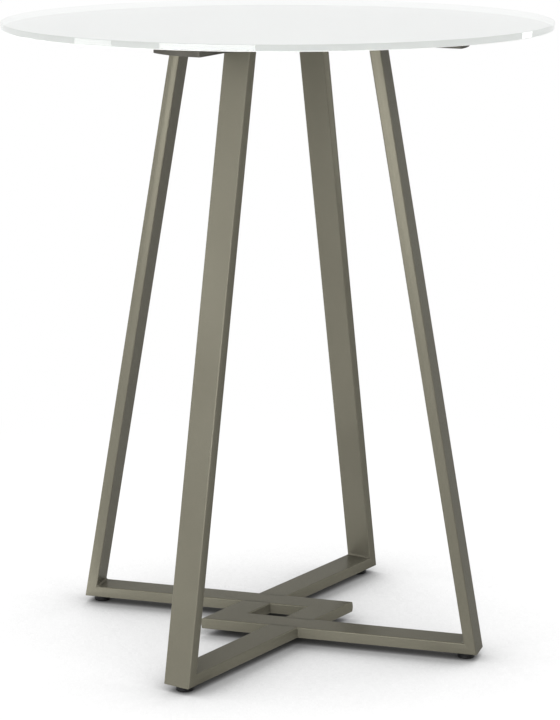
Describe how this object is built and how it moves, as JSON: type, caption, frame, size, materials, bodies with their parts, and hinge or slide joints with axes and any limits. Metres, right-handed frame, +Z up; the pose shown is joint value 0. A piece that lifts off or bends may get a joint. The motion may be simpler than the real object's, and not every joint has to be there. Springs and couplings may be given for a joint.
{
  "type": "bar table",
  "caption": "Tall round glass-topped bar table on leaning flat tube legs, with two interlocked V frames at the floor and screw glides under the feet.",
  "frame": {"origin": "on the floor, under the centre of the round top", "axes": "+Z up; the tips of the two V frames lie on the X axis; the front of the table faces -Y"},
  "size_m": [0.91, 0.91, 1.05],
  "materials": {
    "glass": "clear, polished edge",
    "film": "white opaque film",
    "frame_coat": "satin taupe powder coat",
    "support_coat": "satin dark taupe powder coat",
    "bumper": "clear silicone",
    "glide_plastic": "black moulded plastic",
    "plated_steel": "zinc plated"
  },
  "bodies": {
    "frame": {"glass_top": "glass", "glass_backing_film": "film", "base_bar_front_left_inner": "frame_coat", "base_bar_front_left_outer": "frame_coat", "top_bar_front_left_inner": "frame_coat", "top_bar_front_left_outer": "frame_coat", "leg_front_left": "frame_coat", "top_support_front_left": "support_coat", "support_bumper_front_left": "bumper", "bar_bumper_front_left": "bumper", "glide_nut_front_left": "plated_steel", "base_bar_front_right": "frame_coat", "top_bar_front_right": "frame_coat", "leg_front_right": "frame_coat", "top_support_front_right": "support_coat", "support_bumper_front_right": "bumper", "bar_bumper_front_right": "bumper", "glide_nut_front_right": "plated_steel", "base_bar_back_left": "frame_coat", "top_bar_back_left": "frame_coat", "leg_back_left": "frame_coat", "top_support_back_left": "support_coat", "support_bumper_back_left": "bumper", "bar_bumper_back_left": "bumper", "glide_nut_back_left": "plated_steel", "base_bar_back_right_inner": "frame_coat", "base_bar_back_right_outer": "frame_coat", "top_bar_back_right_inner": "frame_coat", "top_bar_back_right_outer": "frame_coat", "leg_back_right": "frame_coat", "top_support_back_right": "support_coat", "support_bumper_back_right": "bumper", "bar_bumper_back_right": "bumper", "glide_nut_back_right": "plated_steel"},
    "stud_front_left": {"glide_stud_front_left": "plated_steel"},
    "pad_front_left": {"glide_pad_front_left": "glide_plastic"},
    "stud_front_right": {"glide_stud_front_right": "plated_steel"},
    "pad_front_right": {"glide_pad_front_right": "glide_plastic"},
    "stud_back_left": {"glide_stud_back_left": "plated_steel"},
    "pad_back_left": {"glide_pad_back_left": "glide_plastic"},
    "stud_back_right": {"glide_stud_back_right": "plated_steel"},
    "pad_back_right": {"glide_pad_back_right": "glide_plastic"}
  },
  "joints": [
    {"name": "glide_travel_front_left", "type": "slide", "parent": "frame", "child": "stud_front_left", "axis": [0, 0, -1], "range_m": [0, 0.008]},
    {"name": "glide_turn_front_left", "type": "hinge", "parent": "stud_front_left", "child": "pad_front_left", "pos_m": [-0.24646, -0.25178, 0], "axis": [0, 0, -1], "range_deg": [0, 2304]},
    {"name": "glide_travel_front_right", "type": "slide", "parent": "frame", "child": "stud_front_right", "axis": [0, 0, -1], "range_m": [0, 0.008]},
    {"name": "glide_turn_front_right", "type": "hinge", "parent": "stud_front_right", "child": "pad_front_right", "pos_m": [0.24646, -0.25178, 0], "axis": [0, 0, -1], "range_deg": [0, 2304]},
    {"name": "glide_travel_back_left", "type": "slide", "parent": "frame", "child": "stud_back_left", "axis": [0, 0, -1], "range_m": [0, 0.008]},
    {"name": "glide_turn_back_left", "type": "hinge", "parent": "stud_back_left", "child": "pad_back_left", "pos_m": [-0.24646, 0.25178, 0], "axis": [0, 0, -1], "range_deg": [0, 2304]},
    {"name": "glide_travel_back_right", "type": "slide", "parent": "frame", "child": "stud_back_right", "axis": [0, 0, -1], "range_m": [0, 0.008]},
    {"name": "glide_turn_back_right", "type": "hinge", "parent": "stud_back_right", "child": "pad_back_right", "pos_m": [0.24646, 0.25178, 0], "axis": [0, 0, -1], "range_deg": [0, 2304]}
  ],
  "couplings": [
    {"joint": "glide_travel_front_left", "follows": "glide_turn_front_left", "m_per_rad": 0.00019894},
    {"joint": "glide_travel_front_right", "follows": "glide_turn_front_right", "m_per_rad": 0.00019894},
    {"joint": "glide_travel_back_left", "follows": "glide_turn_back_left", "m_per_rad": 0.00019894},
    {"joint": "glide_travel_back_right", "follows": "glide_turn_back_right", "m_per_rad": 0.00019894}
  ]
}
